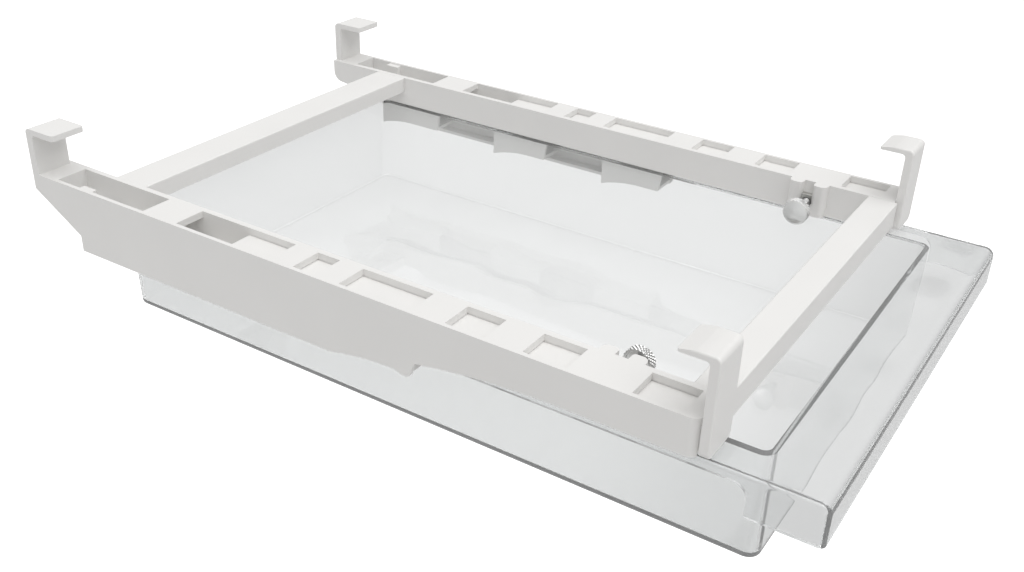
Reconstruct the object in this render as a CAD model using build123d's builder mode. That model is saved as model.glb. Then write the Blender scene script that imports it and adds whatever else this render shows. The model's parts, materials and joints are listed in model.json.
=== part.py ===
"""Pull-out egg holder: a hook-on frame that grips a shelf, and a clear drawer that runs below it.

The frame is two long rails joined by a front and a rear crossbar. Each rail holds a slider
that carries a front hook, and a knurled screw in a boss clamps the slider. The drawer's side
flanges ride on a runner lip that hangs from each rail.

Sizes are in millimetres. +Z is up, and +Y points to the back of the shelf. The origin is the
middle of the front crossbar's flat top, which lies up against the shelf's underside. Pieces
with a mirror twin are built on the left, at minus X, and mirrored.
"""
import os

from build123d import *

os.makedirs("parts", exist_ok=True)

# Frame as a whole, with the sliders pushed fully in
frame_width = 285.0
frame_length = 422.6
hook_lead = 3.1

# Rail: a box section that is open below its straps and above its floor panels
rail_width = 24.5
rail_depth = 19.5
rail_outer_wall = 2.4
rail_inner_wall = 3.4
rail_floor = 2.0
rail_top = 3.7
end_web = 2.4
heel_depth = 14.5
heel_slope_length = 50.0
heel_radius = 7.0
rail_corner = 6.0

# Top windows from the rear forward, and the straps between them. They spread over what is left
# of the rail between its rear pad and its front land.
rear_pad_length = 19.0
front_land = 8.8
window_lengths = (69.5, 67.0, 14.5, 43.0, 21.5, 22.5, 24.0)
strap_lengths = (25.5, 15.0, 15.0, 20.0, 20.5, 32.0)

# Outer side plate, which hangs below the box section over the rear half
plate_depth = 39.5
plate_heel_depth = 30.0
plate_tail_depth = 9.5
plate_tail_length = 34.5
plate_nose_depth = 36.0
plate_nose_slant = 3.5
plate_nose_land = 5.0
plate_nose_radius = 2.0
plate_brow_depth = 27.0
sweep_length = 78.5
plate_arch_length = 49.5
plate_arch_flat = 9.0
plate_arch_depth = 34.5
ledge_thickness = 2.0
ledge_reach = 7.0
ledge_tuck = 7.3

# Brackets that carry the runner lip, from the rear forward, and the gaps between them
bracket_inset = 6.5
bracket_lengths = (51.5, 41.0, 41.5)
bracket_gaps = (49.0, 45.0)
bracket_web = 2.2
bracket_arch = 28.5
bracket_lean = 1.5
runner_offset = 21.0
runner_wall = 2.2

# Drawer stop, and the rib beside it on the inside of the side plate
stop_inset = 8.1
stop_wall = 2.4
tail_rib_inset = 1.0
tail_rib_length = 10.0
tail_rib_reach = 4.6
tail_rib_drop = 1.0
tail_rib_height = 11.0

# Hooks
hook_width = 21.5
hook_bend = 3.0
hook_inner_bend = 2.0
hook_tip_radius = 1.5
rear_hook_post = 5.0
rear_hook_gap = 24.0
rear_hook_lip = 3.4
rear_hook_reach = 23.0
front_hook_width = 23.0
front_hook_post = 4.6
front_hook_gap = 28.5
front_hook_lip = 3.1
front_hook_tip = 1.3
front_hook_taper = 8.0
front_hook_reach = 19.3
front_hook_corner = 1.0

# Slider
slider_length = 274.0
slider_wall = 2.4
slider_rib_pitch = 44.0
slide_gap = 0.3
slab_rise = 1.0
slab_corner = 4.0
slab_gap = 0.2

# Crossbars: troughs open below, with a tongue at each end that seats in the rail's inner wall
front_bar_depth = 17.0
front_bar_rise = 4.5
rear_bar_depth = 24.0
rear_bar_rise = 9.0
rear_bar_inset = 53.5
bar_wall = 2.2
bar_edge = 0.8
tongue_width = 8.0
tongue_height = 5.5
tongue_drop = 3.0
tongue_length = 2.8
tongue_gap = 0.15
front_tongue_shift = 3.0

# Clamp: M6 knurled screw, thin square nut and the boss that holds them
clamp_place = 43.0
clamp_rise = 7.0
screw_radius = 3.0
screw_length = 20.0
screw_chamfer = 0.6
screw_tip_gap = 0.1
head_radius = 7.8
head_thickness = 5.0
head_chamfer = 0.5
head_recess_radius = 6.1
head_recess = 0.8
knurl_count = 36
knurl_radius = 0.4
nut_width = 10.0
nut_thickness = 3.2
nut_chamfer = 0.4
nut_bore_gap = 0.05
nut_gap = 0.1
slot_gap = 0.3
boss_length = 23.0
boss_wall = 2.2
boss_corner = 3.5
slot_corner = 2.0

# Drawer
drawer_wall = 2.3
drawer_floor = 2.5
drawer_height = 59.9
drawer_lead = 19.7
side_draw_in = 2.0
end_draw_in = 0.4
tub_corner = 6.5
tub_bottom_radius = 2.4
tub_inner_radius = 1.0
tub_side_gap = 0.6
rim_gap = 0.9
stop_gap = 0.5
flange_thickness = 2.3
flange_side_gap = 1.8
flange_edge_depth = 5.6
apron_reach = 51.4
apron_corner = 3.0
apron_roll = 5.4
lip_depth = 21.5
skirt_length = 34.8
skirt_fillet = 7.0
ride_gap = 0.3

# Places across the left rail
rail_outer_x = -frame_width / 2
rail_inner_x = rail_outer_x + rail_width
channel_outer_x = rail_outer_x + rail_outer_wall
channel_inner_x = rail_inner_x - rail_inner_wall
channel_width = channel_inner_x - channel_outer_x
channel_middle_x = (channel_outer_x + channel_inner_x) / 2
runner_inner_x = rail_outer_x + runner_offset
runner_outer_x = runner_inner_x - runner_wall

# Places along the left rail
hook_front_y = -front_bar_depth / 2 - hook_lead
rail_front_y = hook_front_y + front_hook_post + slab_gap
rail_rear_y = hook_front_y + frame_length
rail_length = rail_rear_y - rail_front_y
pad_front_y = rail_rear_y - rear_pad_length
heel_slope_y = rail_rear_y - heel_slope_length
plate_heel_y = rail_rear_y - plate_tail_length
stop_rear_y = plate_heel_y - stop_inset
stop_front_y = stop_rear_y - stop_wall
rear_bar_y = rail_rear_y - rear_bar_inset

# Heights
clamp_depth = rail_depth - clamp_rise
rail_floor_z = -rail_depth + rail_floor
rim_z = -rail_depth - rim_gap
flange_under_z = rim_z - flange_thickness
runner_top_z = flange_under_z - ride_gap


def spans(start_y, lengths, gaps, stretch=1.0):
    """Return the front and rear place of each length, laid from the rear forward."""
    found = []
    rear_y = start_y
    for length, gap in zip(lengths, (*gaps, 0)):
        found.append((rear_y - length * stretch, rear_y))
        rear_y -= (length + gap) * stretch
    return found


window_run = pad_front_y - rail_front_y - front_land
windows = spans(
    pad_front_y, window_lengths, strap_lengths, window_run / (sum(window_lengths) + sum(strap_lengths))
)
brackets = spans(plate_heel_y - bracket_inset, bracket_lengths, bracket_gaps)
nose_y = brackets[-1][0]
plate_arch_rear_y = nose_y + plate_arch_length
plate_front_y = nose_y - plate_nose_slant


def save(piece, name):
    """Label a finished piece and write it to its file."""
    piece.part.label = name
    export_step(piece.part, f"parts/{name}.step")


def save_pair(piece, name):
    """Write a left-hand piece and its mirror twin."""
    save(piece, f"left_{name}")
    with BuildPart() as twin:
        mirror(piece.part, about=Plane.YZ)
    save(twin, f"right_{name}")


# Rear hook: a post and a lip that points forward over the shelf's rear edge
rear_hook_top = rear_hook_gap + rear_hook_lip
with BuildPart() as rear_hook:
    with BuildSketch(Plane.YZ.offset(rail_outer_x)):
        with BuildLine():
            Polyline(
                (rail_rear_y, -rail_top),
                (rail_rear_y, rear_hook_top),
                (rail_rear_y - rear_hook_reach, rear_hook_top),
                (rail_rear_y - rear_hook_reach, rear_hook_gap),
                (rail_rear_y - rear_hook_post, rear_hook_gap),
                (rail_rear_y - rear_hook_post, -rail_top),
                close=True,
            )
        make_face()
        fillet(vertices().group_by(Axis.Y)[-1].sort_by(Axis.X)[-1], hook_bend)
        fillet(vertices().sort_by_distance((rail_rear_y - rear_hook_post, rear_hook_gap))[0], hook_inner_bend)
    extrude(amount=hook_width)
    fillet(edges().filter_by(Axis.Z).group_by(Axis.Y)[0], hook_tip_radius)

# Left rail
with BuildPart() as left_rail:
    # Outer side plate: tail slope, heel, long straight edge, arch, nose and sweep
    with BuildSketch(Plane.YZ.offset(rail_outer_x)):
        with BuildLine():
            Polyline(
                (rail_front_y, -rail_depth),
                (rail_front_y, 0),
                (rail_rear_y, 0),
                (rail_rear_y, -plate_tail_depth),
                (plate_heel_y, -plate_heel_depth),
                (plate_heel_y, -plate_depth),
                (plate_arch_rear_y, -plate_depth),
            )
            arch_front = (nose_y + plate_arch_flat, -plate_arch_depth)
            TangentArc(arch_front, (plate_arch_rear_y, -plate_depth), tangent=(1, 0))
            Polyline(
                arch_front,
                (nose_y + plate_nose_land, -plate_nose_depth),
                (nose_y, -plate_nose_depth),
                (plate_front_y, -plate_brow_depth),
            )
            sweep_front = (plate_front_y - sweep_length, -rail_depth)
            TangentArc(sweep_front, (plate_front_y, -plate_brow_depth), tangent=(1, 0))
            Line(sweep_front, (rail_front_y, -rail_depth))
        make_face()
        fillet(vertices().sort_by_distance((nose_y, -plate_nose_depth))[0], plate_nose_radius)
    extrude(amount=rail_outer_wall)

    # Inner wall, with its raised heel
    with BuildSketch(Plane.YZ.offset(channel_inner_x)):
        with BuildLine():
            Polyline(
                (rail_front_y, 0),
                (rail_rear_y, 0),
                (rail_rear_y, -heel_depth),
                (heel_slope_y, -rail_depth),
                (rail_front_y, -rail_depth),
                close=True,
            )
        make_face()
        fillet(vertices().sort_by_distance((rail_rear_y, -heel_depth))[0], heel_radius)
    extrude(amount=rail_inner_wall)

    # Top with its windows
    with BuildSketch():
        with Locations((channel_middle_x, rail_front_y)):
            Rectangle(channel_width, rail_length, align=(Align.CENTER, Align.MIN))
        for front_y, rear_y in windows:
            with Locations((channel_middle_x, front_y)):
                Rectangle(channel_width, rear_y - front_y, align=(Align.CENTER, Align.MIN), mode=Mode.SUBTRACT)
    extrude(amount=-rail_top)

    # Floor panels under the windows
    with BuildSketch(Plane.XY.offset(-rail_depth)):
        for front_y, rear_y in windows:
            with Locations((channel_middle_x, front_y)):
                panel_length = min(rear_y, heel_slope_y) - front_y
                Rectangle(channel_width, panel_length, align=(Align.CENTER, Align.MIN))
    extrude(amount=rail_floor)

    # Webs that close the tail below the rear pad
    with BuildSketch(Plane.YZ.offset(channel_outer_x)):
        with Locations((rail_rear_y, 0)):
            Rectangle(end_web, plate_tail_depth, align=(Align.MAX, Align.MAX))
        with Locations((pad_front_y, 0)):
            Rectangle(end_web, heel_depth, align=(Align.MIN, Align.MAX))
    extrude(amount=channel_width)
    add(rear_hook.part)

    # Brackets: a curved web below, and a runner lip along its inner edge that leans forward
    for front_y, rear_y in brackets:
        low_front = (front_y, -plate_arch_depth)
        low_bend = (rear_y - bracket_arch, -plate_arch_depth)
        low_rear = (rear_y, -plate_depth)
        with BuildSketch(Plane.YZ.offset(channel_outer_x)):
            with BuildLine():
                Line(low_front, low_bend)
                TangentArc(low_bend, low_rear, tangent=(1, 0))
                high_bend = (low_bend[0], low_bend[1] + bracket_web)
                high_rear = (rear_y, -plate_depth + bracket_web)
                Line(low_rear, high_rear)
                TangentArc(high_bend, high_rear, tangent=(1, 0))
                Polyline(high_bend, (front_y, high_bend[1]), low_front)
            make_face()
        extrude(amount=runner_inner_x - channel_outer_x)
        with BuildSketch(Plane.YZ.offset(runner_outer_x)):
            with BuildLine():
                Line(low_front, low_bend)
                TangentArc(low_bend, low_rear, tangent=(1, 0))
                Polyline(low_rear, (rear_y, runner_top_z), (front_y - bracket_lean, runner_top_z), low_front)
            make_face()
        extrude(amount=runner_wall)

    # Ledge that stiffens the side plate between the brackets, and runs on a little below each one's front
    with BuildSketch(Plane.XY.offset(-plate_depth)):
        for ahead, behind in zip(brackets[1:], brackets):
            with Locations((channel_outer_x, ahead[1])):
                ledge_length = behind[0] + ledge_tuck - ahead[1]
                Rectangle(ledge_reach, ledge_length, align=(Align.MIN, Align.MIN))
    extrude(amount=ledge_thickness)

    # Stop across the rear bracket, which ends the flange's travel
    with BuildSketch(Plane.YZ.offset(channel_outer_x)):
        with Locations((stop_front_y, rim_z)):
            stop_height = plate_arch_depth + bracket_web / 2 + rim_z
            Rectangle(stop_wall, stop_height, align=(Align.MIN, Align.MAX))
    extrude(amount=runner_inner_x - channel_outer_x)

    # Rib on the inside of the side plate, seen through the rear window
    with BuildSketch(Plane.XY.offset(-tail_rib_drop)):
        with Locations((channel_outer_x, plate_heel_y - tail_rib_inset)):
            Rectangle(tail_rib_reach, tail_rib_length, align=(Align.MIN, Align.MAX))
    extrude(amount=-tail_rib_height)

    # Boss for the clamp: the nut goes in from below, and the screw's slot is open above
    nut_pocket = nut_thickness + 2 * nut_gap
    boss_reach = nut_pocket + boss_wall
    slot_width = 2 * (screw_radius + slot_gap)
    with BuildSketch(Plane.XY.offset(-rail_depth)):
        with Locations((rail_inner_x, clamp_place)):
            Rectangle(boss_reach, boss_length, align=(Align.MIN, Align.CENTER))
        fillet(vertices().group_by(Axis.X)[-1], boss_corner)
    extrude(amount=rail_depth - clamp_depth)
    with BuildSketch(Plane.XY.offset(-clamp_depth)):
        with Locations((rail_inner_x, clamp_place)):
            Rectangle(boss_reach, boss_length, align=(Align.MIN, Align.CENTER))
            Rectangle(boss_reach, slot_width, align=(Align.MIN, Align.CENTER), mode=Mode.SUBTRACT)
        fillet(vertices().group_by(Axis.X)[-1].sort_by(Axis.Y)[1:3], slot_corner)
        outer_ends = vertices().group_by(Axis.X)[-1].sort_by(Axis.Y)
        fillet([outer_ends[0], outer_ends[-1]], boss_corner)
    extrude(amount=clamp_depth)
    with BuildSketch(Plane.XY.offset(-rail_depth)):
        with Locations((rail_inner_x, clamp_place)):
            Rectangle(nut_pocket, nut_width + 2 * nut_gap, align=(Align.MIN, Align.CENTER))
    extrude(amount=rail_depth - clamp_depth + nut_width / 2 + nut_gap, mode=Mode.SUBTRACT)
    with BuildSketch(Plane.YZ.offset(channel_inner_x)):
        with Locations((clamp_place, -clamp_depth)):
            Circle(screw_radius + slot_gap)
    extrude(amount=rail_inner_wall + boss_reach, mode=Mode.SUBTRACT)

    # Slots for the crossbars' tongues
    with BuildSketch(Plane.XY.offset(-tongue_drop + tongue_gap)):
        for bar_y in (front_tongue_shift, rear_bar_y):
            with Locations((rail_inner_x, bar_y)):
                slot_size = (tongue_length + tongue_gap, tongue_width + 2 * tongue_gap)
                Rectangle(*slot_size, align=(Align.MAX, Align.CENTER))
    extrude(amount=-tongue_height - 2 * tongue_gap, mode=Mode.SUBTRACT)

    # Outer front corner, rounded down its whole height
    with BuildSketch():
        with Locations((rail_outer_x, rail_front_y)):
            Rectangle(rail_corner, rail_corner, align=(Align.MIN, Align.MIN))
        with Locations((rail_outer_x + rail_corner, rail_front_y + rail_corner)):
            Circle(rail_corner, mode=Mode.SUBTRACT)
    extrude(amount=-rail_depth, mode=Mode.SUBTRACT)
save_pair(left_rail, "rail")


def crossbar(bar_y, depth, rise, tongue_y):
    """Return a trough between the rails' inner walls, with a tongue at each end."""
    span = -2 * rail_inner_x
    height = rail_depth - rise
    with BuildPart() as bar:
        with BuildSketch():
            with Locations((0, bar_y)):
                Rectangle(span, depth)
        extrude(amount=-height)
        fillet(edges().filter_by(Axis.X).group_by(Axis.Z)[-1], bar_edge)
        with BuildSketch(Plane.XY.offset(-height)):
            with Locations((0, bar_y)):
                Rectangle(span - 2 * bar_wall, depth - 2 * bar_wall)
        extrude(amount=height - bar_wall, mode=Mode.SUBTRACT)
        with BuildSketch(Plane.XY.offset(-tongue_drop)):
            for side, edge in ((-1, Align.MAX), (1, Align.MIN)):
                with Locations((side * span / 2, tongue_y)):
                    Rectangle(tongue_length, tongue_width, align=(edge, Align.CENTER))
        extrude(amount=-tongue_height)
    return bar


front_crossbar = crossbar(0, front_bar_depth, front_bar_rise, front_tongue_shift)
save(front_crossbar, "front_crossbar")
rear_crossbar = crossbar(rear_bar_y, rear_bar_depth, rear_bar_rise, rear_bar_y)
save(rear_crossbar, "rear_crossbar")

# Left slider: a slab with the front hook, and a ribbed channel that runs inside the rail
slider_start_y = hook_front_y + front_hook_post
slider_run = slider_length - front_hook_post
slider_width = channel_width - 2 * slide_gap
slider_top_z = -rail_top - slide_gap
slider_bottom_z = rail_floor_z + slide_gap
slab_bottom_z = -rail_depth + slab_rise
front_hook_top = front_hook_gap + front_hook_lip
hook_tip_y = hook_front_y + front_hook_reach
with BuildPart() as left_slider:
    # Slab that closes the rail's end, and a lip that tapers to its tip
    with BuildSketch(Plane.YZ.offset(rail_outer_x)):
        with BuildLine():
            Polyline(
                (hook_front_y, slab_bottom_z),
                (hook_front_y, front_hook_top),
                (hook_tip_y - front_hook_taper, front_hook_top),
                (hook_tip_y, front_hook_gap + front_hook_tip),
                (hook_tip_y, front_hook_gap),
                (slider_start_y, front_hook_gap),
                (slider_start_y, slab_bottom_z),
                close=True,
            )
        make_face()
        fillet(vertices().sort_by_distance((hook_front_y, front_hook_top))[0], hook_bend)
        fillet(vertices().sort_by_distance((slider_start_y, front_hook_gap))[0], hook_inner_bend)
    extrude(amount=front_hook_width)
    fillet(edges().filter_by(Axis.Z).group_by(Axis.Y)[-1], hook_tip_radius)
    fillet(edges().filter_by(Axis.Y).group_by(Axis.Z)[0], slab_corner)
    fillet(edges().filter_by(Axis.Z).group_by(Axis.Y)[0], front_hook_corner)

    # Channel, open below between its ribs
    with BuildSketch(Plane.XY.offset(slider_top_z)):
        with Locations((channel_middle_x, slider_start_y)):
            Rectangle(slider_width, slider_run, align=(Align.CENTER, Align.MIN))
    extrude(amount=slider_bottom_z - slider_top_z)
    pocket_count = round(slider_run / slider_rib_pitch)
    pocket_pitch = (slider_run - slider_wall) / pocket_count
    with BuildSketch(Plane.XY.offset(slider_bottom_z)):
        with Locations((channel_middle_x, slider_start_y + (slider_run - slider_wall) / 2)):
            with GridLocations(1, pocket_pitch, 1, pocket_count):
                Rectangle(slider_width - 2 * slider_wall, pocket_pitch - slider_wall)
    extrude(amount=slider_top_z - slider_bottom_z - slider_wall, mode=Mode.SUBTRACT)
save_pair(left_slider, "slider")

# Left clamp screw: the tip stands just off the slider's side
screw_tip_x = channel_inner_x - slide_gap + screw_tip_gap
with BuildPart() as left_clamp_screw:
    with BuildSketch(Plane.YZ.offset(screw_tip_x)):
        with Locations((clamp_place, -clamp_depth)):
            Circle(screw_radius)
    extrude(amount=screw_length)
    chamfer(edges().group_by(Axis.X)[0], screw_chamfer)
    with BuildSketch(Plane.YZ.offset(screw_tip_x + screw_length)):
        with Locations((clamp_place, -clamp_depth)):
            Circle(head_radius)
    extrude(amount=head_thickness)
    chamfer(edges().filter_by(GeomType.CIRCLE).filter_by(lambda e: e.radius == head_radius), head_chamfer)
    with BuildSketch(Plane.YZ.offset(screw_tip_x + screw_length)):
        with Locations((clamp_place, -clamp_depth)):
            Circle(head_recess_radius)
            Circle(screw_radius, mode=Mode.SUBTRACT)
    extrude(amount=head_recess, mode=Mode.SUBTRACT)
    with BuildSketch(Plane.YZ.offset(screw_tip_x + screw_length)):
        with Locations((clamp_place, -clamp_depth)):
            with PolarLocations(head_radius, knurl_count):
                Circle(knurl_radius)
    extrude(amount=head_thickness, mode=Mode.SUBTRACT)
save_pair(left_clamp_screw, "clamp_screw")

# Left clamp nut: square and thin, held by the boss's pocket
with BuildPart() as left_clamp_nut:
    with BuildSketch(Plane.YZ.offset(rail_inner_x + nut_gap)):
        with Locations((clamp_place, -clamp_depth)):
            Rectangle(nut_width, nut_width)
    extrude(amount=nut_thickness)
    chamfer(edges().filter_by(Axis.X), nut_chamfer)
    with BuildSketch(Plane.YZ.offset(rail_inner_x + nut_gap)):
        with Locations((clamp_place, -clamp_depth)):
            Circle(screw_radius + nut_bore_gap)
    extrude(amount=nut_thickness, mode=Mode.SUBTRACT)
save_pair(left_clamp_nut, "clamp_nut")

# Drawer
tub_half_width = -(runner_inner_x + tub_side_gap)
tub_front_y = hook_front_y - drawer_lead
tub_rear_y = stop_front_y - stop_gap
tub_middle_y = (tub_front_y + tub_rear_y) / 2
tub_length = tub_rear_y - tub_front_y
flange_half_width = -(channel_outer_x + flange_side_gap)
apron_front_y = hook_front_y - apron_reach
flange_length = tub_rear_y - apron_front_y
skirt_rear_y = apron_front_y + skirt_length


def tub_block(inset, depth, bottom_radius):
    """Return a block that narrows downwards, drawn in from the tub's outer faces by an inset."""
    share = depth / drawer_height
    with BuildPart() as block:
        for level, across, along in ((0, 0, 0), (depth, side_draw_in * share, end_draw_in * share)):
            with BuildSketch(Plane.XY.offset(rim_z - level)):
                with Locations((0, tub_middle_y)):
                    width = 2 * (tub_half_width - inset - across)
                    RectangleRounded(width, tub_length - 2 * (inset + along), tub_corner - inset)
        loft(ruled=True)
        fillet(edges().group_by(Axis.Z)[0], bottom_radius)
    return block


def apron_block(inset):
    """Return a block under the flanges and apron, drawn in from their top, front and sides by an inset."""
    with BuildPart() as block:
        with BuildSketch(Plane.YZ):
            with BuildLine():
                top_front = (apron_front_y + inset, rim_z - inset)
                Polyline(
                    (apron_front_y + inset, rim_z - lip_depth),
                    top_front,
                    (tub_rear_y, rim_z - inset),
                    (tub_rear_y, rim_z - lip_depth),
                    close=True,
                )
            make_face()
            fillet(vertices().sort_by_distance(top_front)[0], apron_roll - inset)
        extrude(amount=flange_half_width - inset, both=True)
        fillet(edges().filter_by(Axis.Z).group_by(Axis.Y)[0], apron_corner - inset)
    return block


with BuildPart() as drawer:
    # Apron, flanges and skirt: a shallow tray turned over, with a rolled front
    add(apron_block(0).part)
    add(apron_block(flange_thickness).part, mode=Mode.SUBTRACT)

    # Side edges cut short behind the skirt, with a curve where they meet it
    edge_z = rim_z - flange_edge_depth
    with BuildSketch(Plane.YZ):
        with BuildLine():
            Line((skirt_rear_y, rim_z - lip_depth), (skirt_rear_y, edge_z - skirt_fillet))
            RadiusArc(
                (skirt_rear_y, edge_z - skirt_fillet), (skirt_rear_y + skirt_fillet, edge_z), skirt_fillet
            )
            Polyline(
                (skirt_rear_y + skirt_fillet, edge_z),
                (tub_rear_y, edge_z),
                (tub_rear_y, rim_z - lip_depth),
                (skirt_rear_y, rim_z - lip_depth),
            )
        make_face()
    extrude(amount=flange_half_width, both=True, mode=Mode.SUBTRACT)

    # Tub
    add(tub_block(0, drawer_height, tub_bottom_radius).part)
    inner_depth = drawer_height - drawer_floor
    add(tub_block(drawer_wall, inner_depth, tub_inner_radius).part, mode=Mode.SUBTRACT)
save(drawer, "drawer")
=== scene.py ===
"""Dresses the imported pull-out egg holder: white moulded frame, clear drawer, bright thumb screws.

Lengths are in metres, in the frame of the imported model. +Z is up and the drawer opens towards -Y.
"""
import json
import math

import bmesh
import bpy
from mathutils import Matrix, Vector


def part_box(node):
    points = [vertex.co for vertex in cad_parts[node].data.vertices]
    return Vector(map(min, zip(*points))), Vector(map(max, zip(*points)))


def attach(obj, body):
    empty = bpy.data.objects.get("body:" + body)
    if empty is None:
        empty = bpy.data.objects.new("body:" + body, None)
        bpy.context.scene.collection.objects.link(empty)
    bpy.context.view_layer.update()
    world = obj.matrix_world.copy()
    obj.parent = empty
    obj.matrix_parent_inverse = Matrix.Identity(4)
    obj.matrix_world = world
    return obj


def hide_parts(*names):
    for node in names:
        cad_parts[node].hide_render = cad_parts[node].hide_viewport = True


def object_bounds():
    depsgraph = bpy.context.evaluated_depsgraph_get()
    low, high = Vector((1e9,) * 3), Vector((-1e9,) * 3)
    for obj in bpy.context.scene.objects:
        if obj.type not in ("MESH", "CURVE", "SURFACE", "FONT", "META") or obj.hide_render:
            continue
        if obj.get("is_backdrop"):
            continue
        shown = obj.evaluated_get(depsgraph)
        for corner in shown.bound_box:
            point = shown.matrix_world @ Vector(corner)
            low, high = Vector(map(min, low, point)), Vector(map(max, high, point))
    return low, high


bl_info = {
    "name": "Pull-out egg holder",
    "version": (1, 0, 0),
    "blender": (4, 5, 0),
    "location": "3D View > Sidebar > Egg holder",
    "description": "Builds the looks of a hook-on drawer for eggs around its packed frame",
    "category": "Add Mesh",
}

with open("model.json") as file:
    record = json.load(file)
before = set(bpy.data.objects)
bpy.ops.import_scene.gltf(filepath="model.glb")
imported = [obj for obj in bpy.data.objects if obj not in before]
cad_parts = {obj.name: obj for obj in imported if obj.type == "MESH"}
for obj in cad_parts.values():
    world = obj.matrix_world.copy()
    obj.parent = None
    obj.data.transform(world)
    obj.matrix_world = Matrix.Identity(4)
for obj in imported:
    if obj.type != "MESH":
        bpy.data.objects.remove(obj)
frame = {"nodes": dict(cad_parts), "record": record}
NODES = frame["nodes"]
BODY_OF = {
    node: body
    for body, members in frame["record"]["behaviour"]["bodies"].items()
    for node in members
}
SIDES = ("left", "right")
MM = 0.001

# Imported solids: points within the gap are joined, faces within the flat angle are merged, and
# edges sharper than the bevel angle get their small radius
WELD_GAP = 0.001 * MM
FLAT_ANGLE = math.radians(0.5)
BEVEL_ANGLE = math.radians(40)
BEVEL_SEGMENTS = 2

# Screws: sides around, rings in a turn of the thread and in a ridge of the knurl, how much painted
# shade darkens the whole thread (0 to 1), and the angle from which an edge stays crisp
SCREW_SIDES = 240
THREAD_STEPS = 6
KNURL_STEPS = 8
THREAD_PAINTED_SHADE = 0.8
CRISP_ANGLE = math.radians(50)

# Half the floor's width, so that its edge is out of sight
FLOOR_REACH = 8
# In millimetres, as the lens
SENSOR_WIDTH = 36


def linear(hex_colour):
    """Turn an sRGB hex colour into the linear RGBA that the shader nodes take."""
    channels = [int(hex_colour[i:i + 2], 16) / 255 for i in (1, 3, 5)]
    curve = [c / 12.92 if c <= 0.04045 else ((c + 0.055) / 1.055) ** 2.4 for c in channels]
    return (*curve, 1.0)


def add_node(tree, kind, links=(), **settings):
    """Add a shader node, set its properties and sockets, and link it to other nodes' outputs."""
    node = tree.nodes.new(kind)
    for key, value in settings.items():
        if hasattr(node, key):
            setattr(node, key, value)
        else:
            node.inputs[key.replace("_", " ")].default_value = value
    for socket, source in links:
        tree.links.new(source, node.inputs[socket])
    return node


def new_material(name):
    """Return an empty node material with its output, ready for a shader."""
    material = bpy.data.materials.new(name)
    material.use_nodes = True
    tree = material.node_tree
    tree.nodes.clear()
    return material, tree, tree.nodes.new("ShaderNodeOutputMaterial")


def moulded_abs(finish):
    """White ABS, injection moulded in a spark-eroded mould."""
    # To the eye: a white that is barely warm, with an even satin sheen and no gloss
    material, tree, output = new_material("white ABS, satin moulded")
    where = add_node(tree, "ShaderNodeTexCoord")
    place = [("Vector", where.outputs["Object"])]
    # Spark-eroded grain is about 0.15 mm across, drawn at 0.5 mm so that it shows in the render
    grain_size, grain_height = 0.5 * MM, 0.02 * MM
    grain = add_node(tree, "ShaderNodeTexNoise", place, Scale=1 / grain_size, Detail=2.0)
    # Slow changes in the moulding's thickness shade it a little
    flow_size = 40 * MM
    flow = add_node(tree, "ShaderNodeTexNoise", place, Scale=1 / flow_size, Detail=1.0)
    tint = add_node(tree, "ShaderNodeMix", [("Factor", flow.outputs["Fac"])], data_type="RGBA")
    tint.inputs["A"].default_value = linear(finish.abs_shade)
    tint.inputs["B"].default_value = linear(finish.abs_light)
    spread = 0.05
    gloss = add_node(
        tree, "ShaderNodeMapRange", [("Value", grain.outputs["Fac"])],
        To_Min=finish.abs_roughness - spread, To_Max=finish.abs_roughness + spread,
    )
    bump = add_node(
        tree, "ShaderNodeBump", [("Height", grain.outputs["Fac"])],
        Strength=0.06, Distance=grain_height,
    )
    shader = add_node(
        tree, "ShaderNodeBsdfPrincipled",
        [
            ("Base Color", tint.outputs["Result"]),
            ("Roughness", gloss.outputs["Result"]),
            ("Normal", bump.outputs["Normal"]),
        ],
        IOR=1.53,
    )
    tree.links.new(shader.outputs["BSDF"], output.inputs["Surface"])
    return material


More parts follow.
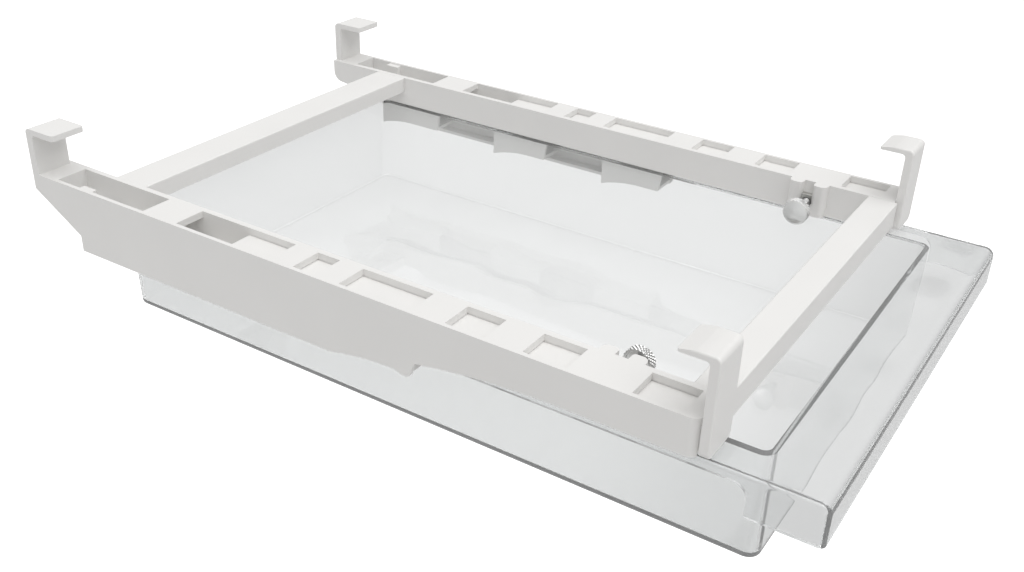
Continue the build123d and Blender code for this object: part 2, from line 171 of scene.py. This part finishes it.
def clear_styrene(finish):
    """Clear polystyrene, moulded against polished steel."""
    # To the eye: glassy, dark where it is seen edge on, with a faint milky veil over its faces
    material, tree, output = new_material("clear polystyrene, polished moulded")
    where = add_node(tree, "ShaderNodeTexCoord")
    # The two faces of a wall cooled apart, so each has waves of its own: the pattern is read this
    # far off the face
    off = 40 * MM
    off_face = add_node(
        tree, "ShaderNodeVectorMath",
        [("Vector", where.outputs["Normal"]), (2, where.outputs["Object"])],
        operation="MULTIPLY_ADD",
    )
    off_face.inputs[1].default_value = (off, off, off)
    # Flow waves of a thin moulding
    wave_length, wave_height = 45 * MM, 7.5 * MM
    waves = add_node(
        tree, "ShaderNodeTexNoise", [("Vector", off_face.outputs["Vector"])],
        Scale=1 / wave_length, Detail=0.0,
    )
    # They are faint in the tub, strongest in the flat of the apron, furthest from the gate, and
    # die out where the apron rolls over
    tub_front, apron_back, apron_front, roll = -33 * MM, -41 * MM, -48 * MM, -56 * MM
    tub_share = 1 / 10
    level_from = 0.97
    along = add_node(tree, "ShaderNodeSeparateXYZ", [("Vector", where.outputs["Object"])])
    behind = add_node(
        tree, "ShaderNodeMapRange", [("Value", along.outputs["Y"])],
        From_Min=tub_front, From_Max=apron_back,
        To_Min=finish.clear_waves * tub_share, To_Max=finish.clear_waves,
    )
    facing = add_node(tree, "ShaderNodeSeparateXYZ", [("Vector", where.outputs["Normal"])])
    upright = add_node(tree, "ShaderNodeMath", [(0, facing.outputs["Z"])], operation="ABSOLUTE")
    level = add_node(
        tree, "ShaderNodeMapRange", [("Value", upright.outputs["Value"])],
        From_Min=level_from, From_Max=1.0,
    )
    ahead = add_node(
        tree, "ShaderNodeMapRange", [("Value", along.outputs["Y"])],
        From_Min=roll, From_Max=apron_front, To_Min=0.0, To_Max=1.0,
    )
    flat = add_node(
        tree, "ShaderNodeMath", [(0, level.outputs["Result"]), (1, ahead.outputs["Result"])],
        operation="MULTIPLY",
    )
    sink = add_node(
        tree, "ShaderNodeMath", [(0, behind.outputs["Result"]), (1, flat.outputs["Value"])],
        operation="MULTIPLY",
    )
    bump = add_node(
        tree, "ShaderNodeBump",
        [("Height", waves.outputs["Fac"]), ("Strength", sink.outputs["Value"])],
        Distance=wave_height,
    )
    # The index is a little under polystyrene's own 1.59, matched to the object
    shader = add_node(
        tree, "ShaderNodeBsdfPrincipled", [("Normal", bump.outputs["Normal"])],
        Base_Color=linear(finish.clear_veil), Roughness=0.02, IOR=1.49,
        Transmission_Weight=finish.clear_clarity,
    )
    depth = add_node(
        tree, "ShaderNodeVolumeAbsorption",
        Color=linear(finish.clear_edge), Density=finish.clear_density,
    )
    tree.links.new(shader.outputs["BSDF"], output.inputs["Surface"])
    tree.links.new(depth.outputs["Volume"], output.inputs["Volume"])
    return material


def plated_steel(name, colour, shade, roughness, streak):
    """Steel, turned or pressed and then plated. A screw's mesh says where shade is painted on it.
    """
    # To the eye: metallic and faintly marked, with painted shade darkening the threads and the
    # knurl's grooves
    material, tree, output = new_material(name)
    where = add_node(tree, "ShaderNodeTexCoord")
    place = [("Vector", where.outputs["Object"])]
    # Marks of handling
    mark_size, mark_height = 1 * MM, 0.02 * MM
    marks = add_node(tree, "ShaderNodeTexNoise", place, Scale=1 / mark_size, Detail=3.0)
    gloss = add_node(
        tree, "ShaderNodeMapRange", [("Value", marks.outputs["Fac"])],
        To_Min=roughness, To_Max=roughness + streak,
    )
    bump = add_node(
        tree, "ShaderNodeBump", [("Height", marks.outputs["Fac"])],
        Strength=0.1, Distance=mark_height,
    )
    # Painted shade: the mesh's share mixes the colour towards the dark shade colour in threads and
    # knurl grooves
    painted_shade = add_node(tree, "ShaderNodeAttribute", attribute_name="painted_shade")
    tint = add_node(tree, "ShaderNodeMix", [("Factor", painted_shade.outputs["Fac"])], data_type="RGBA")
    tint.inputs["A"].default_value = linear(colour)
    tint.inputs["B"].default_value = linear(shade)
    shader = add_node(
        tree, "ShaderNodeBsdfPrincipled",
        [
            ("Base Color", tint.outputs["Result"]),
            ("Roughness", gloss.outputs["Result"]),
            ("Normal", bump.outputs["Normal"]),
        ],
        Metallic=1.0,
    )
    tree.links.new(shader.outputs["BSDF"], output.inputs["Surface"])
    return material


def lit_sweep(settings):
    """Opal acrylic, lit from below."""
    # To the eye: burnt out to white, as in a cut-out picture, but pale grey through the drawer and
    # lighter there towards the back, with a soft light on matt faces
    material, tree, output = new_material("opal acrylic sweep, lit from below")
    front, back = -0.10, 0.15
    where = add_node(tree, "ShaderNodeTexCoord")
    place = add_node(tree, "ShaderNodeSeparateXYZ", [("Vector", where.outputs["Object"])])
    lit = add_node(
        tree, "ShaderNodeMapRange", [("Value", place.outputs["Y"])],
        interpolation_type="SMOOTHSTEP", From_Min=front, From_Max=back,
        To_Min=settings.floor_front, To_Max=settings.floor_back,
    )
    path = add_node(tree, "ShaderNodeLightPath")
    seen = add_node(
        tree, "ShaderNodeMix", [(0, path.outputs["Is Camera Ray"]), (2, lit.outputs["Result"])],
        data_type="FLOAT",
    )
    seen.inputs[3].default_value = settings.floor_white
    glow = add_node(
        tree, "ShaderNodeMix", [(0, path.outputs["Is Diffuse Ray"]), (2, seen.outputs[0])],
        data_type="FLOAT",
    )
    glow.inputs[3].default_value = settings.floor_fill
    shader = add_node(
        tree, "ShaderNodeBsdfPrincipled", [("Emission Strength", glow.outputs[0])],
        Base_Color=linear(settings.floor_colour), Roughness=0.9, Specular_IOR_Level=0.0,
        Emission_Color=(1, 1, 1, 1),
    )
    tree.links.new(shader.outputs["BSDF"], output.inputs["Surface"])
    return material


def dim_studio(settings):
    """Return a world that is white overhead, and dim at eye level."""
    # Clear plastic and metal show its dim walls as grey. To the camera it is as white as the
    # floor, so that no horizon shows
    world = bpy.data.worlds.new("dim studio, white ceiling")
    world.use_nodes = True
    tree = world.node_tree
    tree.nodes.clear()
    eye_level, ceiling = 0.0, 0.7
    where = add_node(tree, "ShaderNodeTexCoord")
    height = add_node(tree, "ShaderNodeSeparateXYZ", [("Vector", where.outputs["Generated"])])
    seen = add_node(
        tree, "ShaderNodeMapRange", [("Value", height.outputs["Z"])],
        interpolation_type="SMOOTHSTEP", From_Min=eye_level, From_Max=ceiling,
        To_Min=settings.sky_low, To_Max=settings.sky_high,
    )
    path = add_node(tree, "ShaderNodeLightPath")
    strength = add_node(
        tree, "ShaderNodeMix", [(0, path.outputs["Is Diffuse Ray"]), (2, seen.outputs["Result"])],
        data_type="FLOAT",
    )
    strength.inputs[3].default_value = settings.sky_fill
    backdrop = add_node(
        tree, "ShaderNodeMix", [(0, path.outputs["Is Camera Ray"]), (2, strength.outputs[0])],
        data_type="FLOAT",
    )
    backdrop.inputs[3].default_value = settings.floor_white
    sky = add_node(
        tree, "ShaderNodeBackground", [("Strength", backdrop.outputs[0])], Color=(1, 1, 1, 1),
    )
    output = tree.nodes.new("ShaderNodeOutputWorld")
    tree.links.new(sky.outputs["Background"], output.inputs["Surface"])
    return world


def soften_edges(piece, radius):
    """Give a CAD node's sharp edges the small radius that a mould or a tumbler leaves."""
    weld = piece.modifiers.new("join tessellation", "WELD")
    weld.merge_threshold = WELD_GAP
    flat = piece.modifiers.new("clear flat faces", "DECIMATE")
    flat.decimate_type = "DISSOLVE"
    flat.angle_limit = FLAT_ANGLE
    bevel = piece.modifiers.new("edge radius", "BEVEL")
    bevel.width = radius
    bevel.segments = BEVEL_SEGMENTS
    bevel.limit_method = "ANGLE"
    bevel.angle_limit = BEVEL_ANGLE
    even = piece.modifiers.new("flat faces stay flat", "WEIGHTED_NORMAL")
    even.weight = 100
    even.keep_sharp = True
    piece.data.shade_smooth()


def dress(node, material, radius):
    """Put a material on a CAD node, and soften its edges."""
    piece = NODES[node]
    piece.data.materials.clear()
    piece.data.materials.append(material)
    soften_edges(piece, radius)
    return piece


def add_object(name, data):
    """Add an object to the scene."""
    thing = bpy.data.objects.new(name, data)
    bpy.context.scene.collection.objects.link(thing)
    return thing


def screw_rings(detail, length, head):
    """List a screw's rings as (x, radius, kind), from its tip at 0 to its head at the length."""
    neck = length - detail.head_thickness
    rings = [(0, detail.shank_radius - detail.thread_depth, "plain")]
    steps = round((neck - detail.tip_chamfer) / (detail.thread_pitch / THREAD_STEPS))
    for step in range(steps + 1):
        x = detail.tip_chamfer + step * detail.thread_pitch / THREAD_STEPS
        rings.append((x, detail.shank_radius, "thread"))
    # Recess behind the head
    rings += [
        (neck + detail.recess_depth, detail.shank_radius, "plain"),
        (neck + detail.recess_depth, detail.recess_radius, "plain"),
        (neck, detail.recess_radius + detail.head_chamfer / 2, "plain"),
        (neck, head - detail.head_chamfer, "plain"),
    ]
    knurled = detail.head_thickness - 2 * detail.head_chamfer
    steps = round(knurled / detail.knurl_pitch * KNURL_STEPS)
    for step in range(steps + 1):
        x = neck + detail.head_chamfer + knurled * step / steps
        rings.append((x, head, "knurl"))
    # Front face: a flat rim two chamfers wide round a shallow dish
    rim = head - 3 * detail.head_chamfer
    dish = head - 3.5 * detail.head_chamfer
    rings += [
        (length, head - detail.head_chamfer, "plain"),
        (length, rim, "plain"),
        (length - detail.face_step, dish, "plain"),
    ]
    return rings


def screw_skin(detail, head):
    """Return the function that gives a point's distance from the axis, and how much shade is
    painted on it.
    """
    ridges = round(2 * math.pi * head / detail.knurl_pitch)

    def skin_at(x, radius, kind, angle):
        turn = angle / (2 * math.pi)
        if kind == "thread":
            along = (x / detail.thread_pitch - turn) % 1
            # Painted shade: the whole thread is darkened by the same share, which dims its
            # highlight
            return radius - detail.thread_depth * (1 - abs(2 * along - 1)), THREAD_PAINTED_SHADE
        if kind == "knurl":
            # Two sets of ridges slant against each other. Shade is painted into the grooves, darker
            # the deeper they are
            slant = x / detail.knurl_pitch
            left = abs((turn * ridges + slant) % 1 - 0.5)
            right = abs((turn * ridges - slant) % 1 - 0.5)
            depth = 2 * max(left, right)
            return radius - detail.knurl_depth * depth, depth ** 3
        return radius, 0.0

    return skin_at


def turned_mesh(name, rings, skin_at):
    """Sweep a closed skin round the X axis, through the rings."""
    mesh = bmesh.new()
    painted_shade = mesh.verts.layers.float.new("painted_shade")
    loops = []
    for x, radius, kind in rings:
        loop = []
        for step in range(SCREW_SIDES):
            angle = 2 * math.pi * step / SCREW_SIDES
            reach, shade_share = skin_at(x, radius, kind, angle)
            corner = mesh.verts.new((x, reach * math.cos(angle), reach * math.sin(angle)))
            corner[painted_shade] = shade_share
            loop.append(corner)
        loops.append(loop)
    for here, ahead in zip(loops, loops[1:]):
        for step in range(SCREW_SIDES):
            after = (step + 1) % SCREW_SIDES
            mesh.faces.new((here[step], here[after], ahead[after], ahead[step]))
    mesh.faces.new(loops[0])
    mesh.faces.new(loops[-1])
    bmesh.ops.recalc_face_normals(mesh, faces=mesh.faces)
    data = bpy.data.meshes.new(name)
    mesh.to_mesh(data)
    mesh.free()
    return data


class FinishSettings(bpy.types.PropertyGroup):
    """Colours and gloss of the finishes."""

    abs_light: bpy.props.StringProperty(
        name="White, light", description="Lighter colour of the white moulding",
        default="#E9E8E6",
    )
    abs_shade: bpy.props.StringProperty(
        name="White, dark", description="Darker colour of the white moulding",
        default="#E4E3E1",
    )
    abs_roughness: bpy.props.FloatProperty(
        name="White roughness", description="Roughness of the white moulding",
        default=0.42, min=0, max=1,
    )
    clear_edge: bpy.props.StringProperty(
        name="Clear edge colour", description="Colour of the clear plastic seen edge on",
        default="#C9CCCB",
    )
    clear_density: bpy.props.FloatProperty(
        name="Clear density", description="How fast the clear plastic darkens, per metre of depth",
        default=12.0, min=0,
    )
    clear_waves: bpy.props.FloatProperty(
        name="Clear waves", description="Strength of the waves in the apron",
        default=1.0, min=0, max=1,
    )
    clear_veil: bpy.props.StringProperty(
        name="Clear veil colour", description="Colour of the veil over the clear plastic",
        default="#F2F3F3",
    )
    clear_clarity: bpy.props.FloatProperty(
        name="Clarity", description="Share of the light that passes the clear plastic's faces",
        default=0.9, min=0, max=1,
    )
    nickel: bpy.props.StringProperty(
        name="Nickel", description="Colour of the screws' plating", default="#DBDBDA",
    )
    # Painted shade: the dark colour that threads and the knurl's grooves are mixed towards
    painted_shade: bpy.props.StringProperty(
        name="Grooves", description="Colour of the plating on threads and deep in the knurl",
        default="#787877",
    )
    zinc: bpy.props.StringProperty(
        name="Zinc", description="Colour of the nuts' plating", default="#CFCFCC",
    )


class DetailSettings(bpy.types.PropertyGroup):
    """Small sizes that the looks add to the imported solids."""

    edge_radius: bpy.props.FloatProperty(
        name="Edge radius", description="Radius of the white mouldings' edges",
        default=0.35 * MM, unit="LENGTH", precision=5,
    )
    drawer_radius: bpy.props.FloatProperty(
        name="Drawer edge radius", description="Radius of the drawer's edges",
        default=0.3 * MM, unit="LENGTH", precision=5,
    )
    nut_radius: bpy.props.FloatProperty(
        name="Nut edge radius", description="Radius of the nuts' edges",
        default=0.15 * MM, unit="LENGTH", precision=5,
    )
    thread_pitch: bpy.props.FloatProperty(
        name="Thread pitch", description="Pitch of the M6 thread",
        default=1.0 * MM, unit="LENGTH", precision=5,
    )
    thread_depth: bpy.props.FloatProperty(
        name="Thread depth", description="Depth of the M6 thread",
        default=0.6 * MM, unit="LENGTH", precision=5,
    )
    # A real knurl's ridges are about 1 mm apart, drawn twice as far so that they show in the render
    knurl_pitch: bpy.props.FloatProperty(
        name="Knurl pitch", description="Distance between the knurl's ridges",
        default=2.04 * MM, unit="LENGTH", precision=5,
    )
    knurl_depth: bpy.props.FloatProperty(
        name="Knurl depth", description="Depth of the knurl's grooves",
        default=0.7 * MM, unit="LENGTH", precision=5,
    )
    shank_radius: bpy.props.FloatProperty(
        name="Shank radius", description="Radius of the screws' threaded shanks",
        default=3.0 * MM, unit="LENGTH", precision=5,
    )
    tip_chamfer: bpy.props.FloatProperty(
        name="Tip chamfer", description="Chamfer at the screws' tips",
        default=0.6 * MM, unit="LENGTH", precision=5,
    )
    head_thickness: bpy.props.FloatProperty(
        name="Head thickness", description="Thickness of the screws' heads",
        default=5.0 * MM, unit="LENGTH", precision=5,
    )
    head_chamfer: bpy.props.FloatProperty(
        name="Head chamfer", description="Chamfer at both ends of the knurl",
        default=0.5 * MM, unit="LENGTH", precision=5,
    )
    recess_radius: bpy.props.FloatProperty(
        name="Recess radius", description="Radius of the recess behind the heads",
        default=5.9 * MM, unit="LENGTH", precision=5,
    )
    recess_depth: bpy.props.FloatProperty(
        name="Recess depth", description="Depth of the recess behind the heads",
        default=0.8 * MM, unit="LENGTH", precision=5,
    )
    face_step: bpy.props.FloatProperty(
        name="Face step", description="Depth of the dish in the front of the heads",
        default=0.15 * MM, unit="LENGTH", precision=5,
    )


class StageSettings(bpy.types.PropertyGroup):
    """Camera, floor and lights."""

    camera_place: bpy.props.FloatVectorProperty(
        name="Camera place", description="Where the camera stands",
        default=(-0.5030, -0.1409, 0.2689), subtype="XYZ", unit="LENGTH",
    )
    camera_turn: bpy.props.FloatProperty(
        name="Camera turn", description="Turn to the right from looking along +Y",
        default=math.radians(57.879), subtype="ANGLE",
    )
    camera_tilt: bpy.props.FloatProperty(
        name="Camera tilt", description="Tilt below the horizon",
        default=math.radians(29.046), subtype="ANGLE",
    )
    camera_roll: bpy.props.FloatProperty(
        name="Camera roll", description="Roll about the line of sight",
        default=math.radians(1.877), subtype="ANGLE",
    )
    lens: bpy.props.FloatProperty(
        name="Lens", description="Focal length in millimetres on a 36 mm wide sensor",
        default=40.23,
    )
    floor_drop: bpy.props.FloatProperty(
        name="Floor drop", description="Height of the drawer above the floor",
        default=0.40, unit="LENGTH",
    )
    floor_colour: bpy.props.StringProperty(
        name="Floor colour", description="Colour of the floor where the light above falls on it",
        default="#9A9A9A",
    )
    floor_front: bpy.props.FloatProperty(
        name="Floor glow, front", description="The floor's light through the drawer, at the front",
        default=0.36,
    )
    floor_back: bpy.props.FloatProperty(
        name="Floor glow, back", description="The floor's light through the drawer, at the back",
        default=0.62,
    )
    floor_fill: bpy.props.FloatProperty(
        name="Floor fill", description="Strength of the floor's light on matt faces",
        default=0.30,
    )
    floor_white: bpy.props.FloatProperty(
        name="Backdrop white", description="How bright floor and studio are to the camera",
        default=1.0,
    )
    sky_fill: bpy.props.FloatProperty(
        name="Studio fill", description="How strongly the studio lights matt faces",
        default=0.5,
    )
    sky_low: bpy.props.FloatProperty(
        name="Studio walls", description="How bright the studio looks at eye level",
        default=0.3,
    )
    sky_high: bpy.props.FloatProperty(
        name="Studio ceiling", description="How bright the studio looks overhead",
        default=1.1,
    )
    bank_strength: bpy.props.FloatProperty(
        name="Light bank", description="Strength of the wide light above",
        default=1.9,
    )
    bank_width: bpy.props.FloatProperty(
        name="Light bank width", description="How wide the light above looks",
        default=math.radians(80), subtype="ANGLE",
    )
    bank_from: bpy.props.FloatVectorProperty(
        name="Light bank direction", description="Where the light above stands",
        default=(-0.1, -0.3, 0.95), subtype="XYZ",
    )


class HolderOperator:
    """Shared parts of the operators."""

    bl_options = {"REGISTER", "UNDO"}

    @property
    def finish(self):
        return bpy.context.scene.holder_finish

    @property
    def detail(self):
        return bpy.context.scene.holder_detail


class EGGHOLDER_OT_white_frame(HolderOperator, bpy.types.Operator):
    """Finish the rails, crossbars and sliders, which are white mouldings"""

    bl_idname = "eggholder.white_frame"
    bl_label = "White frame"

    def execute(self, context):
        white = moulded_abs(self.finish)
        mouldings = [f"{side}_{piece}" for side in SIDES for piece in ("rail", "slider")]
        for node in (*mouldings, "front_crossbar", "rear_crossbar"):
            dress(node, white, self.detail.edge_radius)
        return {"FINISHED"}


class EGGHOLDER_OT_clear_drawer(HolderOperator, bpy.types.Operator):
    """Finish the clear drawer"""

    bl_idname = "eggholder.clear_drawer"
    bl_label = "Clear drawer"

    def execute(self, context):
        drawer = dress("drawer", clear_styrene(self.finish), self.detail.drawer_radius)
        # Clear walls about 2 mm thick throw no shadow and take no light from the frame behind
        drawer.visible_shadow = False
        drawer.visible_diffuse = False
        return {"FINISHED"}


class EGGHOLDER_OT_clamp_nuts(HolderOperator, bpy.types.Operator):
    """Finish the square nuts in the clamps"""

    bl_idname = "eggholder.clamp_nuts"
    bl_label = "Clamp nuts"

    def execute(self, context):
        zinc = plated_steel(
            "steel nut, zinc plated", self.finish.zinc, self.finish.painted_shade,
            roughness=0.35, streak=0.15,
        )
        for side in SIDES:
            dress(f"{side}_clamp_nut", zinc, self.detail.nut_radius)
        return {"FINISHED"}


class EGGHOLDER_OT_thumb_screws(HolderOperator, bpy.types.Operator):
    """Build the knurled thumb screws, with their threads"""

    bl_idname = "eggholder.thumb_screws"
    bl_label = "Thumb screws"

    def execute(self, context):
        nickel = plated_steel(
            "turned steel, nickel plated", self.finish.nickel, self.finish.painted_shade,
            roughness=0.14, streak=0.1,
        )
        for side, sign in zip(SIDES, (1, -1)):
            node = f"{side}_clamp_screw"
            low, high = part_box(node)
            axis_y = (low.y + high.y) / 2
            axis_z = (low.z + high.z) / 2
            head = (high.z - low.z) / 2

            name = f"{side}_thumb_screw"
            rings = screw_rings(self.detail, high.x - low.x, head)
            screw = add_object(name, turned_mesh(name, rings, screw_skin(self.detail, head)))
            screw.data.materials.append(nickel)
            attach(screw, BODY_OF[node])
            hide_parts(node)

            # The right screw is the left one turned half round, so both have right-hand threads
            tip_x = low.x if sign > 0 else high.x
            for corner in screw.data.vertices:
                x, y, z = corner.co
                corner.co = (tip_x + sign * x, axis_y + sign * y, axis_z + z)
            screw.data.shade_smooth()
            edges = screw.modifiers.new("crisp edges", "EDGE_SPLIT")
            edges.split_angle = CRISP_ANGLE
        return {"FINISHED"}


class EGGHOLDER_OT_stage(HolderOperator, bpy.types.Operator):
    """Build the floor, the lights and the camera"""

    bl_idname = "eggholder.stage"
    bl_label = "Stage"

    def execute(self, context):
        scene = context.scene
        settings = scene.holder_stage
        low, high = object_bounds()
        middle = (low + high) / 2

        mesh = bmesh.new()
        bmesh.ops.create_grid(mesh, x_segments=1, y_segments=1, size=FLOOR_REACH)
        data = bpy.data.meshes.new("floor")
        mesh.to_mesh(data)
        mesh.free()
        data.materials.append(lit_sweep(settings))
        floor = add_object("floor", data)
        floor.location = (middle.x, middle.y, low.z - settings.floor_drop)
        floor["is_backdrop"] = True

        scene.world = dim_studio(settings)

        lamp = bpy.data.lights.new("overhead bank", "SUN")
        lamp.energy = settings.bank_strength
        lamp.angle = settings.bank_width
        bank = add_object("overhead bank", lamp)
        bank.rotation_euler = (-Vector(settings.bank_from)).to_track_quat("-Z", "Y").to_euler()

        view = bpy.data.cameras.new("camera")
        view.sensor_width = SENSOR_WIDTH
        view.lens = settings.lens
        camera = add_object("camera", view)
        turn = Matrix.Rotation(-settings.camera_turn, 4, "Z")
        tilt = Matrix.Rotation(math.pi / 2 - settings.camera_tilt, 4, "X")
        roll = Matrix.Rotation(settings.camera_roll, 4, "Z")
        camera.matrix_world = Matrix.Translation(settings.camera_place) @ turn @ tilt @ roll
        scene.camera = camera
        scene.view_settings.view_transform = "Standard"
        return {"FINISHED"}


class EGGHOLDER_PT_panel(bpy.types.Panel):
    """Lists the builders and their sizes"""

    bl_label = "Egg holder"
    bl_idname = "EGGHOLDER_PT_panel"
    bl_space_type = "VIEW_3D"
    bl_region_type = "UI"
    bl_category = "Egg holder"

    def draw(self, context):
        scene = context.scene
        for group in (scene.holder_finish, scene.holder_detail, scene.holder_stage):
            box = self.layout.box()
            for name in group.__annotations__:
                box.prop(group, name)
        for operator in OPERATORS:
            self.layout.operator(operator.bl_idname)


OPERATORS = (
    EGGHOLDER_OT_white_frame,
    EGGHOLDER_OT_clear_drawer,
    EGGHOLDER_OT_clamp_nuts,
    EGGHOLDER_OT_thumb_screws,
    EGGHOLDER_OT_stage,
)
SETTINGS = {
    "holder_finish": FinishSettings,
    "holder_detail": DetailSettings,
    "holder_stage": StageSettings,
}


def register():
    for group in (*SETTINGS.values(), *OPERATORS, EGGHOLDER_PT_panel):
        bpy.utils.register_class(group)
    for name, group in SETTINGS.items():
        setattr(bpy.types.Scene, name, bpy.props.PointerProperty(type=group))


def unregister():
    for name in SETTINGS:
        delattr(bpy.types.Scene, name)
    for group in reversed((*SETTINGS.values(), *OPERATORS, EGGHOLDER_PT_panel)):
        bpy.utils.unregister_class(group)


def main():
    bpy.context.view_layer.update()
    register()
    for operator in OPERATORS:
        family, name = operator.bl_idname.split(".")
        getattr(getattr(bpy.ops, family), name)()
    bpy.context.view_layer.update()


if __name__ == "__main__":
    main()
